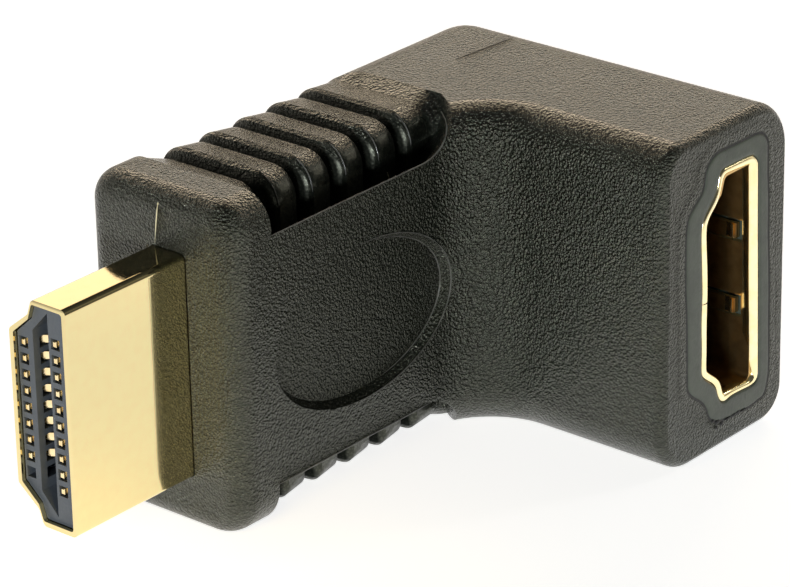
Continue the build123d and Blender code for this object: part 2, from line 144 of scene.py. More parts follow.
def join(tree, value, target):
    """Links the value to the target where it is a socket, and otherwise writes it there."""
    if isinstance(value, bpy.types.NodeSocket):
        tree.links.new(value, target)
    else:
        target.default_value = value


def add_node(tree, kind, **sockets):
    """A node of the given kind, with its input sockets set by name."""
    node = tree.nodes.new(kind)
    for socket, value in sockets.items():
        join(tree, value, node.inputs[socket.replace("_", " ")])
    return node


# %% Sums, fades and ramps
def maths(tree, operation, first, second=0.0):
    """One sum over two sockets or numbers."""
    node = tree.nodes.new("ShaderNodeMath")
    node.operation = operation
    join(tree, first, node.inputs[0])
    join(tree, second, node.inputs[1])
    return node.outputs["Value"]


def vector_maths(tree, operation, first, second=None, scale=None):
    """One sum over places or colours; gives all outputs of its node."""
    node = tree.nodes.new("ShaderNodeVectorMath")
    node.operation = operation
    join(tree, first, node.inputs[0])
    if second is not None:
        join(tree, second, node.inputs[1])
    if scale is not None:
        join(tree, scale, node.inputs["Scale"])
    return node.outputs


def fade(tree, value, start, end, low=0.0, high=1.0):
    """Goes from low to high while the value goes from start to end."""
    limits = {"From_Min": start, "From_Max": end, "To_Min": low, "To_Max": high}
    return add_node(tree, "ShaderNodeMapRange", Value=value, **limits).outputs["Result"]


def ramp(tree, value, stops):
    """A colour ramp over the value, with (position, colour) stops from low to high."""
    node = add_node(tree, "ShaderNodeValToRGB", Fac=value)
    elements = node.color_ramp.elements
    elements[0].position = stops[0][0]
    elements[1].position = stops[-1][0]
    for position, _ in stops[1:-1]:
        elements.new(position)
    for element, (_, colour) in zip(elements, stops):
        element.color = (*colour, 1)
    return node.outputs["Color"]


# %% Places, noise and relief
NOISE_LOW, NOISE_HIGH = 0.3, 0.7


def place_in(tree, stretch=(1, 1, 1)):
    """Places on the adapter, stretched where a pattern runs one way."""
    place = tree.nodes.new("ShaderNodeTexCoord").outputs["Object"]
    return add_node(tree, "ShaderNodeMapping", Vector=place, Scale=stretch).outputs["Vector"]


def axes_in(tree):
    """X, Y and Z of each place on the adapter."""
    return add_node(tree, "ShaderNodeSeparateXYZ", Vector=place_in(tree)).outputs


def noise(tree, place, per_mm, detail):
    """Soft random patches, so many to the millimetre, mostly from NOISE_LOW to NOISE_HIGH."""
    return add_node(tree, "ShaderNodeTexNoise", Vector=place, Scale=per_mm / MM, Detail=detail).outputs


def uneven(tree, shader, height, relief):
    """Gives the shader a relief in millimetres from a height pattern."""
    bump = add_node(tree, "ShaderNodeBump", Strength=1.0, Distance=relief * MM, Height=height)
    join(tree, bump.outputs["Normal"], shader.inputs["Normal"])


# %% [markdown]
# The moulded skin
#
# The over-moulding is soft black plastic, cast in an etched tool. Its grain is a
# field of low, rounded islands under a quarter of a millimetre across, and each of
# them catches a small glint. Grain can be sculpted or taken from a picture. Here it
# is a cell pattern whose borders are pushed about by noise, because that needs no
# picture, costs no faces and has no seams. The grooves and the rib fronts come from
# polished parts of the tool. There the grain fades out, by where a point lies on the
# adapter, and the depths of the grooves, which little light reaches, lose their shine.

# %% Where the tool was polished
POLISHED_LIMITS = (
    ("X", -24.9, -24.6),
    ("X", -8.0, -8.6),
    ("Y", -5.6, -5.0),
    ("Z", 20.35, 19.7),
    ("Z", 0.3, 0.45),
)


def polished_zone(tree):
    """One in the grooves and on the rib fronts, zero elsewhere."""
    axes = axes_in(tree)
    zone = 1.0
    for axis, grained, polished in POLISHED_LIMITS:
        inside = fade(tree, axes[axis], grained * MM, polished * MM)
        zone = maths(tree, "MULTIPLY", zone, inside)
    return zone


# %% How deep a point lies in the grooves
BEND_Y, BEND_Z = -2.03, 18.7
SHALLOW_RADIUS, DEEP_RADIUS = 1.75, 1.5


def groove_depth(tree):
    """One down in the grooves, zero out on the ribs, going round their front bend."""
    axes = axes_in(tree)
    forward = maths(tree, "SUBTRACT", BEND_Y * MM, axes["Y"])
    upward = maths(tree, "SUBTRACT", axes["Z"], BEND_Z * MM)
    squares = []
    for reach in (forward, upward):
        outward = maths(tree, "MAXIMUM", 0.0, reach)
        squares.append(maths(tree, "MULTIPLY", outward, outward))
    radius = maths(tree, "SQRT", maths(tree, "ADD", *squares))
    return fade(tree, radius, SHALLOW_RADIUS * MM, DEEP_RADIUS * MM)


# %% Islands of the grain
ISLANDS_PER_MM = 6.0
WANDERS_PER_MM = 2.6
WANDER_REACH = 0.22
TOOTH_PER_MM = 15.0
TOOTH_SHARE = 0.6
POLISHED_SHARE = 0.06


def grain_islands(tree, place):
    """How far a point is from the middle of its island, with borders that wander."""
    wander = noise(tree, place, WANDERS_PER_MM, 2.0)["Color"]
    shift = vector_maths(tree, "SCALE", wander, scale=WANDER_REACH * MM)["Vector"]
    moved = vector_maths(tree, "ADD", place, shift)["Vector"]
    islands = add_node(tree, "ShaderNodeTexVoronoi", Vector=moved, Scale=ISLANDS_PER_MM / MM)
    return islands.outputs["Distance"]


def grain_height(tree, place, islands, zone):
    """Height of the islands with a fine tooth on them, nearly flat in the polished zone."""
    tooth = noise(tree, place, TOOTH_PER_MM, 2.0)["Fac"]
    hills = maths(tree, "MULTIPLY", islands, -1.0)
    height = maths(tree, "ADD", hills, maths(tree, "MULTIPLY", tooth, TOOTH_SHARE))
    return maths(tree, "MULTIPLY", height, fade(tree, zone, 0, 1, 1.0, POLISHED_SHARE))


# %% Roughness and shine of the skin
PATCHES_PER_MM = 0.42
SKIN_ROUGHNESS = (0.14, 0.20)
POLISHED_ROUGHER, DEEP_ROUGHER = 0.10, 0.25
DIP_SHINE, DEEP_SHINE = 0.5, 0.05


def skin_roughness(tree, place, zone, deep):
    """Patchy, a little duller in the polished zone and much duller down in the grooves."""
    patches = noise(tree, place, PATCHES_PER_MM, 3.0)["Fac"]
    roughness = fade(tree, patches, NOISE_LOW, NOISE_HIGH, *SKIN_ROUGHNESS)
    for where, rougher in ((zone, POLISHED_ROUGHER), (deep, DEEP_ROUGHER)):
        roughness = maths(tree, "ADD", roughness, maths(tree, "MULTIPLY", where, rougher))
    return roughness


def skin_shine(tree, islands, deep):
    """Full on the islands, half in the dips between them and almost none in the grooves."""
    grain_shine = fade(tree, islands, 0.15, 0.6, 1.0, DIP_SHINE)
    return maths(tree, "MULTIPLY", grain_shine, fade(tree, deep, 0, 1, 1.0, DEEP_SHINE))


# %% Moulded skin
GRAIN_RELIEF = 0.11
HILL_BLACK = (0.010, 0.011, 0.008)
SHADED_DIP_BLACK = (0.004, 0.005, 0.004)
PLAIN_SHINE = 0.8
SHINE_TINT = (0.97, 1.0, 0.80, 1)


def moulded_skin(name):
    """Black plastic with etched grain, smooth in the grooves."""
    finish, tree, shader = new_finish(name)
    place = place_in(tree)
    islands = grain_islands(tree, place)
    zone = polished_zone(tree)
    deep = maths(tree, "MULTIPLY", zone, groove_depth(tree))
    uneven(tree, shader, grain_height(tree, place, islands, zone), GRAIN_RELIEF)
    join(tree, skin_roughness(tree, place, zone, deep), shader.inputs["Roughness"])
    # Painted shade: the dips between the grain's islands are coloured darker than their tops.
    black = ramp(tree, islands, [(0.1, HILL_BLACK), (0.8, SHADED_DIP_BLACK)])
    join(tree, black, shader.inputs["Base Color"])
    shader.inputs["Specular IOR Level"].default_value = PLAIN_SHINE
    join(tree, skin_shine(tree, islands, deep), shader.inputs["Specular IOR Level"])
    shader.inputs["Specular Tint"].default_value = SHINE_TINT
    return finish


# %% [markdown]
# Smooth mouldings
#
# The ring round the socket, the insulators and the thin flash are plain mouldings.
# A single colour would make them look like paint, while a real one is faintly
# mottled and shows where the melt has flowed. So two close tones are mixed by a
# coarse noise, and a finer one gives a shallow relief and sways the roughness.

# %% Smooth mouldings
MOTTLES_PER_MM = 0.9
FLOW_MARKS_PER_MM = 6.0
FLOW_RELIEF = 0.02
ROUGHNESS_SWAY = 0.06


def smooth_moulding(name, light, dark, roughness):
    """A dull plastic, mottled between two tones, with shallow flow marks."""
    finish, tree, shader = new_finish(name)
    place = place_in(tree)
    mottle = noise(tree, place, MOTTLES_PER_MM, 4.0)["Fac"]
    join(tree, ramp(tree, mottle, [(0.35, dark), (0.7, light)]), shader.inputs["Base Color"])
    flow = noise(tree, place, FLOW_MARKS_PER_MM, 3.0)["Fac"]
    uneven(tree, shader, flow, FLOW_RELIEF)
    sway = (roughness - ROUGHNESS_SWAY, roughness + ROUGHNESS_SWAY)
    join(tree, fade(tree, flow, NOISE_LOW, NOISE_HIGH, *sway), shader.inputs["Roughness"])
    return finish


# %% [markdown]
# Gold
#
# The plug's sleeve is drawn sheet, gold plated and polished along its height, so its
# fine lines run upright. A brushed metal can be had from the shader's anisotropy.
# Noise stretched along one axis was chosen because it gives single lines that can be
# seen, and small dull spots where fingers have been. A fade just under the plug's top
# darkens the gold on its top side, a painted shade that tones down the back lamp's
# reflection there.

# %% Gold
LINES_PER_MM = 9.0
ALONG_THE_HEIGHT = (1, 1, 0.02)
LINE_RELIEF = 0.0012
LINE_ROUGHER, SPOT_ROUGHER = 0.05, 0.03
SPOTS_PER_MM = 1.4
PLUG_WIDTH = 13.9
PLUG_TOP_Z = MID_Z + PLUG_WIDTH / 2
TOP_SHADE_START_Z, TOP_SHADE_FULL_Z = PLUG_TOP_Z - 0.2, PLUG_TOP_Z - 0.02


def drawn_gold(name, bright, worn, roughness, shaded_top=1.0):
    """Gold plate with upright polishing lines, small dull spots and a painted shade that darkens its
    top side.
    """
    finish, tree, shader = new_finish(name)
    lines = noise(tree, place_in(tree, ALONG_THE_HEIGHT), LINES_PER_MM, 3.0)["Fac"]
    spots = noise(tree, place_in(tree), SPOTS_PER_MM, 4.0)["Fac"]
    tone = ramp(tree, spots, [(0.4, bright), (0.75, worn)])
    # Painted shade: the gold's colour darkens on the plug's top side, where the back lamp is mirrored.
    top_shade = fade(tree, axes_in(tree)["Z"], TOP_SHADE_START_Z * MM, TOP_SHADE_FULL_Z * MM, 1.0, shaded_top)
    join(tree, vector_maths(tree, "SCALE", tone, scale=top_shade)["Vector"], shader.inputs["Base Color"])
    shader.inputs["Metallic"].default_value = 1.0
    lined = fade(tree, lines, 0.35, 0.7, roughness, roughness + LINE_ROUGHER)
    spotted = fade(tree, spots, 0.55, 0.8, 0.0, SPOT_ROUGHER)
    join(tree, maths(tree, "ADD", lined, spotted), shader.inputs["Roughness"])
    uneven(tree, shader, lines, LINE_RELIEF)
    return finish


# %% [markdown]
# The board
#
# The little board inside joins the plug's contacts to the socket's. It is green
# lacquer over copper tracks, which show through as lighter lines. It lies hidden in
# the moulding, so a brick pattern, whose joints stand for the tracks, is enough.

# %% Board
TRACKS_PER_MM = 0.4
TRACK_RELIEF = 0.03
LACQUER_ROUGHNESS = 0.25
BOARD_GREENS = {
    "Color1": (0.012, 0.10, 0.045, 1),
    "Color2": (0.014, 0.12, 0.05, 1),
    "Mortar": (0.03, 0.20, 0.09, 1),
}


def lacquered_board(name):
    """Green lacquer with the tracks showing through as lighter lines."""
    finish, tree, shader = new_finish(name)
    sockets = {"Vector": place_in(tree), "Scale": TRACKS_PER_MM / MM, **BOARD_GREENS}
    tracks = add_node(tree, "ShaderNodeTexBrick", **sockets)
    join(tree, tracks.outputs["Color"], shader.inputs["Base Color"])
    uneven(tree, shader, tracks.outputs["Fac"], TRACK_RELIEF)
    shader.inputs["Roughness"].default_value = LACQUER_ROUGHNESS
    return finish


# %% [markdown]
# Give every piece its finish
#
# The record that comes with the frame names a material slot for each piece. Each
# piece could be picked out by its name, but a table from slot to finish is shorter
# and dresses all of them in one loop. The sleeve of the plug is the most polished
# gold, and the contacts are duller, as thin plating on spring metal is.

# %% Give every piece its finish
FINISHES = {
    "overmould": moulded_skin("moulded_skin"),
    "inner_moulding": smooth_moulding(
        "ring_plastic", (0.066, 0.080, 0.056), (0.046, 0.056, 0.040), 0.42),
    "gold_shell": drawn_gold(
        "drawn_gold", (0.77, 0.65, 0.34), (0.755, 0.628, 0.322), 0.04, shaded_top=0.34),
    "contact_gold": drawn_gold(
        "contact_gold", (0.95, 0.78, 0.46), (0.85, 0.62, 0.30), 0.18),
    "plug_insulator": smooth_moulding(
        "slate_insulator", (0.075, 0.087, 0.102), (0.060, 0.070, 0.083), 0.38),
    "receptacle_insulator": smooth_moulding(
        "dark_insulator", (0.028, 0.024, 0.020), (0.016, 0.014, 0.012), 0.4),
    "board": lacquered_board("lacquered_board"),
}
for entry in frame["record"]["subparts"]:
    piece = nodes[entry["node"]]
    piece.data.materials.clear()
    piece.data.materials.append(FINISHES[entry["material_slot"]])
print("finishes given to", len(nodes), "pieces")

# %% [markdown]
# Building small pieces
#
# What follows adds the small things that a mould and a press leave behind. They can
# be modelled by hand in edit mode, but each of them is a few rings of points with
# faces between them, so two short helpers build them all. One makes the faces
# between rings, and the other turns points in millimetres into a piece that rides
# on the adapter.


# %% Rings of points and mesh pieces
def faces_between(start, rings, count):
    """Four-sided faces between closed rings of count points each, the first one at start."""
    faces = []
    for ring in range(rings - 1):
        low = start + ring * count
        high = low + count
        for side in range(count):
            after = (side + 1) % count
            faces.append((low + side, low + after, high + after, high + side))
    return faces


def new_piece(name, points, faces, slot, finish=None, smooth=True):
    """A mesh piece that rides on the adapter, from points in millimetres."""
    mesh = bpy.data.meshes.new(name)
    mesh.from_pydata([Vector(point) * MM for point in points], [], faces)
    mesh.polygons.foreach_set("use_smooth", [smooth] * len(mesh.polygons))
    mesh.materials.append(finish or FINISHES[slot])
    piece = put_in_scene(name, mesh)
    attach(piece, "root")
    print("piece:", name, "with", len(faces), "faces")
    return piece


# %% [markdown]
# The socket's face, set back
#
# On the real adapter the ring round the socket is poured, so its border wanders, and
# the gold lip is rolled over by hand. In the frame both are plain and flat. The
# wandering forms could be cut into the solids, but it is easier to lay them on top.
# For that the plain faces step back by a few hundredths of a millimetre, so that
# what is added stays inside the adapter's own box.

# %% Set back the plain faces
FACE_SET = 0.08
TOP_SET = 0.02
RING_SET = 0.25


def set_back(node, name, depth, top_depth=0.0):
    """A copy of a node whose socket face and top plane are set back a little."""
    mesh = nodes[node].data.copy()
    mesh.name = name
    for vertex in mesh.vertices:
        vertex.co.y = max(vertex.co.y, (SOCKET_FACE_Y + depth) * MM)
        vertex.co.z = min(vertex.co.z, (TOP_Z - top_depth) * MM)
    piece = put_in_scene(name, mesh)
    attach(piece, "root")
    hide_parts(node)
    print("set back:", name, "with", len(mesh.vertices), "points")
    return piece


moulding = set_back("overmould_housing", "outer_moulding", FACE_SET, TOP_SET)
set_back("inner_mould", "inner_moulding_body", RING_SET)
sleeve = set_back("receptacle_shell", "socket_sleeve", RING_SET)
sleeve.data.materials.clear()
# Painted shade: the sleeve's gold is darker and browner than the plug's, standing in for the dim
# inside of the socket.
sleeve.data.materials.append(drawn_gold("shaded_sleeve_gold", (0.64, 0.43, 0.18), (0.46, 0.29, 0.11), 0.28))

# %% [markdown]
# The oval recess
#
# An oval is sunk into the side panel, with a wall that leans in. At its right end
# the panel begins to curve into the corner, and there the recess has to be carved on
# through the curve. Moving points by hand would spoil the smooth wall. A flared oval
# plug, taken away with a Boolean modifier, continues the same wall exactly, and the
# result is written back to the mesh, so that no modifier is left on the piece.

# %% The recess wall
PANEL_Y = -5.95
OVAL_X = -17.0
OVAL_HALF_LENGTH, OVAL_HALF_HEIGHT = 7.85, 4.9
OVAL_DEPTH = 0.55
OVAL_LEAN = 0.4 / OVAL_DEPTH
OVAL_POINTS = 96


def oval(depth, start=0.0, end=360.0, count=OVAL_POINTS):
    """Points on the recess wall, at a depth behind the panel's face."""
    points = []
    for index in range(count):
        angle = math.radians(start + (end - start) * index / count)
        across = (OVAL_HALF_LENGTH - depth * OVAL_LEAN) * math.cos(angle)
        up = (OVAL_HALF_HEIGHT - depth * OVAL_LEAN) * math.sin(angle)
        points.append((OVAL_X + across, PANEL_Y + depth, MID_Z + up))
    return points


# %% Carve the recess on into the corner's curve
CUTTER_DEPTHS = (0.02, -0.8)
cutter_mesh = bpy.data.meshes.new("oval_cutter")
cutter_points = [Vector(point) * MM for depth in CUTTER_DEPTHS for point in oval(depth)]
caps = [tuple(range(OVAL_POINTS))[::-1], tuple(range(OVAL_POINTS, 2 * OVAL_POINTS))]
cutter_mesh.from_pydata(cutter_points, [], faces_between(0, 2, OVAL_POINTS) + caps)
cutter = put_in_scene("oval_cutter", cutter_mesh)
carve = moulding.modifiers.new("carve_oval", "BOOLEAN")
carve.operation = "DIFFERENCE"
carve.object = cutter
carve.solver = "EXACT"
evaluated = moulding.evaluated_get(bpy.context.evaluated_depsgraph_get())
carved = bpy.data.meshes.new_from_object(evaluated)
moulding.modifiers.clear()
moulding.data = carved
bpy.data.objects.remove(cutter)
print("outer moulding faces:", len(carved.polygons))

# %% [markdown]
# The outlines of ring and lip
#
# Neither outline is a drawn shape: the melt crept and the sheet sprang, so no two
# corners are alike. They were measured off the photograph as x and z on the socket's
# face. A curve object could carry them. A smooth curve worked out here, through each
# of the corners, gives plain points, which the rolled and the poured parts then
# share without a gap.

# %% Outline of the ring's border
RING_EDGE = [
    (3.62, 18.18), (3.64, 16.58), (3.78, 14.61), (3.80, 12.67), (3.92, 10.68), (4.01, 8.69),
    (4.03, 6.71), (4.10, 4.69), (4.11, 3.35), (3.93, 2.48), (3.63, 1.92), (2.90, 1.76),
    (2.18, 1.67), (1.45, 1.72), (0.72, 1.73), (-0.10, 1.77), (-0.93, 1.89), (-1.65, 2.20),
    (-2.06, 2.63), (-2.23, 3.08), (-2.54, 3.57), (-2.95, 3.95), (-3.46, 4.34), (-3.92, 4.74),
    (-4.20, 5.21), (-4.25, 6.14), (-4.28, 7.77), (-4.33, 9.40), (-4.44, 11.04), (-4.50, 12.33),
    (-4.51, 13.60), (-4.51, 14.86), (-4.42, 15.72), (-4.24, 16.22), (-3.90, 16.58), (-3.42, 16.95),
    (-2.98, 17.30), (-2.77, 17.73), (-2.69, 18.27), (-2.52, 18.72), (-2.23, 19.03), (-1.84, 19.24),
    (-1.40, 19.36), (-0.85, 19.36), (-0.06, 19.34), (0.75, 19.31), (1.55, 19.31), (2.36, 19.29),
    (2.97, 19.15), (3.39, 18.76),
]
print("corners of the ring's border:", len(RING_EDGE))

# %% Outlines of the lip
LIP_OUTSIDE = [
    (1.79, 18.04), (2.25, 17.86), (2.57, 17.50), (2.67, 16.90), (2.74, 13.68), (2.86, 10.40),
    (2.95, 7.10), (3.04, 4.08), (2.99, 3.44), (2.70, 3.14), (2.13, 3.06), (1.20, 3.11),
    (0.27, 3.13), (-0.39, 3.01), (-0.81, 3.20), (-1.07, 3.63), (-1.26, 4.17), (-1.60, 4.59),
    (-2.07, 4.95), (-2.53, 5.33), (-2.74, 5.77), (-2.74, 7.20), (-2.80, 8.65), (-2.77, 10.12),
    (-2.76, 11.08), (-2.84, 12.70), (-2.91, 14.00), (-2.91, 14.82), (-2.80, 15.36), (-2.53, 15.77),
    (-2.12, 16.17), (-1.73, 16.54), (-1.46, 16.93), (-1.30, 17.44), (-1.18, 17.84), (-0.92, 18.06),
    (-0.32, 18.08), (0.58, 18.07),
]
LIP_INSIDE = [
    (1.71, 17.48), (1.89, 17.41), (1.91, 17.30), (1.93, 16.82), (2.04, 13.91), (2.11, 10.66),
    (2.23, 7.35), (2.31, 4.68), (2.48, 3.83), (2.38, 3.56), (2.02, 3.43), (1.19, 3.48),
    (0.26, 3.54), (-0.25, 3.56), (-0.46, 3.57), (-0.57, 3.91), (-0.76, 4.41), (-1.10, 4.80),
    (-1.56, 5.17), (-1.98, 5.52), (-2.16, 5.88), (-2.16, 6.99), (-2.17, 8.42), (-2.15, 9.90),
    (-2.13, 10.86), (-2.19, 12.48), (-2.29, 13.79), (-2.32, 14.62), (-2.24, 15.10), (-1.94, 15.54),
    (-1.51, 15.90), (-1.18, 16.30), (-1.01, 16.84), (-0.87, 17.23), (-0.73, 17.50), (-0.46, 17.63),
    (0.09, 17.61), (0.79, 17.56),
]
print("corners of the lip:", len(LIP_OUTSIDE), "outside and", len(LIP_INSIDE), "inside")

# %% Smooth loops on the socket's face
LOOP_STEPS = 4


def smooth_loop(corners):
    """Closed smooth curve through the corners, with LOOP_STEPS points to each of them."""
    count = len(corners)
    loop = []
    for index in range(count):
        nearby = [Vector(corners[(index + shift) % count]) for shift in (-1, 0, 1, 2)]
        before, start, end, after = nearby
        bend = 2 * before - 5 * start + 4 * end - after
        twist = 3 * start - before - 3 * end + after
        for step in range(LOOP_STEPS):
            t = step / LOOP_STEPS
            loop.append((2 * start + (end - before) * t + bend * t ** 2 + twist * t ** 3) / 2)
    return loop


def grown(loop, distance):
    """The loop moved outward, or inward where the distance is negative."""
    count = len(loop)
    result = []
    for index, point in enumerate(loop):
        along = (loop[(index + 1) % count] - loop[index - 1]).normalized()
        result.append(point + distance * Vector((-along.y, along.x)))
    return result


def between(first, second, share):
    """The loop that lies at a share of the way from the first loop to the second."""
    return [a.lerp(b, share) for a, b in zip(first, second)]


# %% Strips laid on the socket's face
def on_face(x, depth, z):
    """A point at a depth behind the socket's face."""
    return (x, SOCKET_FACE_Y + depth, z)


def at_depth(loop, depth):
    """The flat loop as points at a depth behind the socket's face."""
    return [on_face(point.x, depth, point.y) for point in loop]


def strip(name, loops, slot, finish=None):
    """A closed strip through loops that have the same number of points."""
    points = [point for loop in loops for point in loop]
    return new_piece(name, points, faces_between(0, len(loops), len(loops[0])), slot, finish)


# %% [markdown]
# The rolled lip
#
# The mouth of the socket is sheet metal rolled over its own edge, a little wavy and
# bright where it turns. It could be a bevel on the sleeve, but a bevel keeps one
# width all round. A strip between the lip's two outlines, which follows a rolled
# profile from one to the other, takes every change of width from the outlines.

# %% Rolled lip
LIP_PROFILE = [
    (-0.02, 0.26), (0.0, 0.12), (0.12, 0.06), (0.3, 0.03),
    (0.55, 0.04), (0.8, 0.1), (0.95, 0.2), (1.0, 0.32),
]
LIP_TAIL_REACH, LIP_TAIL_DEPTH = 0.02, 0.75
lip_out = smooth_loop(LIP_OUTSIDE)
lip_in = smooth_loop(LIP_INSIDE)
lip_loops = [at_depth(between(lip_out, lip_in, share), depth) for share, depth in LIP_PROFILE]
lip_loops.append(at_depth(grown(lip_in, LIP_TAIL_REACH), LIP_TAIL_DEPTH))
# Painted highlight: the lip's gold is paler than the sleeve's, so the rolled edge reads bright, on top
# of the light that its real roll catches.
lit_lip_gold = drawn_gold("lit_lip_gold", (1.0, 0.89, 0.55), (0.96, 0.80, 0.42), 0.14)
strip("rolled_lip", lip_loops, "gold_shell", lit_lip_gold)

# %% [markdown]
# The lip's seam
#
# The sleeve is bent from a strip, whose ends meet in a fine seam across the lip's
# left side. A groove cut there would be thinner than the mesh can hold. A dark
# thread, thinned to nothing at both ends, reads as the same open joint, and the same
# helper later makes every hairline, scratch and light line.


# %% Threads
THREAD_SIDES = 6
THREAD_TIP = 0.15
THREAD_SWELL = 2.5


def thread(name, paths, radius, slot, finish=None):
    """Thin round threads along open paths, thinned to almost nothing at both ends."""
    points, faces = [], []
    for path in paths:
        path = [Vector(point) for point in path]
        start = len(points)
        last = len(path) - 1
        for index, centre in enumerate(path):
            along = (path[min(index + 1, last)] - path[max(index - 1, 0)]).normalized()
            across = along.orthogonal().normalized()
            other = along.cross(across)
            width = radius * min(1, THREAD_TIP + THREAD_SWELL * math.sin(math.pi * index / last))
            for side in range(THREAD_SIDES):
                turn = 2 * math.pi * side / THREAD_SIDES
                points.append(centre + width * (math.cos(turn) * across + math.sin(turn) * other))
        end = len(points)
        faces += faces_between(start, len(path), THREAD_SIDES)
        faces.append(tuple(range(start + THREAD_SIDES - 1, start - 1, -1)))
        faces.append(tuple(range(end - THREAD_SIDES, end)))
    return new_piece(name, points, faces, slot, finish)


# %% Seam of the lip
SEAM = [
    on_face(-2.80, 0.08, 10.13), on_face(-2.62, 0.035, 10.15), on_face(-2.45, 0.035, 10.13),
    on_face(-2.28, 0.08, 10.17), on_face(-2.12, 0.2, 10.17),
]
SEAM_RADIUS = 0.03
dark_gap = smooth_moulding("dark_gap", (0.006, 0.006, 0.005), (0.003, 0.003, 0.003), 0.6)
thread("lip_seam", [SEAM], SEAM_RADIUS, "gold_shell", dark_gap)

# %% [markdown]
# The ring, its gap and the face beside it
#
# The inner moulding shows as a dull ring round the socket, and where it meets the
# outer one a fine dark gap has opened. Lip and border have different corners, so a
# strip from one to the other would twist. Both loops are therefore read off again at
# even angles round one centre, and then every point has its partner straight across.

# %% Loops with partners at even angles
RING_COUNT = 320
RING_CENTRE = Vector((-0.3, 10.5))
FULL_TURN = 2 * math.pi
LIP_CLEARANCE = 0.05


def by_angle(loop):
    """The loop with RING_COUNT points at even angles round the ring's centre."""
    reaches = [point - RING_CENTRE for point in loop]
    polar = sorted((math.atan2(reach.y, reach.x), reach.length) for reach in reaches)
    (first_angle, first_radius), (last_angle, last_radius) = polar[0], polar[-1]
    polar.insert(0, (last_angle - FULL_TURN, last_radius))
    polar.append((first_angle + FULL_TURN, first_radius))
    result = []
    place = 0
    for index in range(RING_COUNT):
        angle = FULL_TURN * index / RING_COUNT - math.pi
        while polar[place + 1][0] < angle:
            place += 1
        (angle_a, radius_a), (angle_b, radius_b) = polar[place], polar[place + 1]
        share = (angle - angle_a) / (angle_b - angle_a)
        radius = radius_a + share * (radius_b - radius_a)
        result.append(RING_CENTRE + radius * Vector((math.cos(angle), math.sin(angle))))
    return result[::-1]


lip_border = by_angle(grown(lip_out, LIP_CLEARANCE))
ring_border = by_angle(smooth_loop(RING_EDGE))
print("loops of", len(lip_border), "and", len(ring_border), "points")

# %% Ring, gap and surround
RING_DEPTH = 0.05
RING_INNER_DEPTHS = (0.26, 0.09)
RING_SHARES = (0.1, 0.3, 0.5, 0.7, 0.86)
RING_OUTER_STEPS = ((-0.12, 0.06), (-0.08, 0.085), (-0.06, 0.2))
GAP_STEPS = ((-0.08, 0.077), (0.0, 0.077), (0.08, 0.077))
SURROUND_STEPS = ((0.06, 0.079), (0.08, 0.068), (0.12, 0.06), (0.6, 0.062), (0.75, 0.082))


def beside_border(steps):
    """Loops beside the ring's border, by how far out and how deep each one lies."""
    return [at_depth(grown(ring_border, reach), depth) for reach, depth in steps]


ring_loops = [at_depth(lip_border, depth) for depth in RING_INNER_DEPTHS]
ring_loops += [at_depth(between(lip_border, ring_border, share), RING_DEPTH) for share in RING_SHARES]
strip("socket_ring", ring_loops + beside_border(RING_OUTER_STEPS), "inner_moulding")
strip("ring_gap", beside_border(GAP_STEPS), "inner_moulding", dark_gap)
strip("ring_surround", beside_border(SURROUND_STEPS), "overmould")

# %% [markdown]
# Flash at the ring's foot
#
# Below the socket a little melt squeezed out through the gap and set in lumps, and a
# hairline crosses the ring beside it. Lumps could be sculpted from one blob. A few
# squashed balls that run into each other look the same at this size, and each can be
# placed by itself. Each one reaches just as far as the socket's face.


# %% Lumps
def lumps(name, places, slot, finish=None, rings=6, sides=10):
    """Small squashed balls, given as centre and half sizes."""
    points, faces = [], []
    for centre, half in places:
        faces += faces_between(len(points), rings + 1, sides)
        for ring in range(rings + 1):
            tilt = math.pi * ring / rings
            for side in range(sides):
                turn = 2 * math.pi * side / sides
                wide = math.sin(tilt)
                ball = (wide * math.cos(turn), wide * math.sin(turn), math.cos(tilt))
                points.append([c + h * b for c, h, b in zip(centre, half, ball)])
    return new_piece(name, points, faces, slot, finish)


# %% Flash and hairline on the ring
FLASH_LUMPS = [
    (-1.15, 1.93, (0.30, 0.10, 0.16)), (-1.62, 2.16, (0.2, 0.09, 0.12)),
    (-0.72, 1.66, (0.22, 0.08, 0.14)), (0.55, 1.78, (0.3, 0.09, 0.1)),
    (0.98, 1.80, (0.26, 0.10, 0.12)), (-1.25, 1.6, (0.16, 0.07, 0.1)),
    (-0.1, 1.78, (0.3, 0.06, 0.06)), (1.5, 1.73, (0.3, 0.06, 0.06)),
]
HAIRLINE = [on_face(1.68, 0.055, 2.85), on_face(1.66, 0.055, 2.54), on_face(1.70, 0.055, 2.19)]
HAIRLINE_RADIUS = 0.02
flash_places = [(on_face(x, half[1], z), half) for x, z, half in FLASH_LUMPS]
lumps("ring_flash", flash_places, "inner_moulding", dark_gap)
thread("ring_hairline", [HAIRLINE], HAIRLINE_RADIUS, "inner_moulding", dark_gap)

# %% [markdown]
# Finger tips inside the socket
#
# Two sprung fingers are cut from the sleeve and bent inward, and their tips catch
# the light inside the dark mouth. They could be bent from a flat plate with a
# modifier. The bend is only five points long, so it is written down as x and depth,
# and a flat bar is run along it once for each finger.

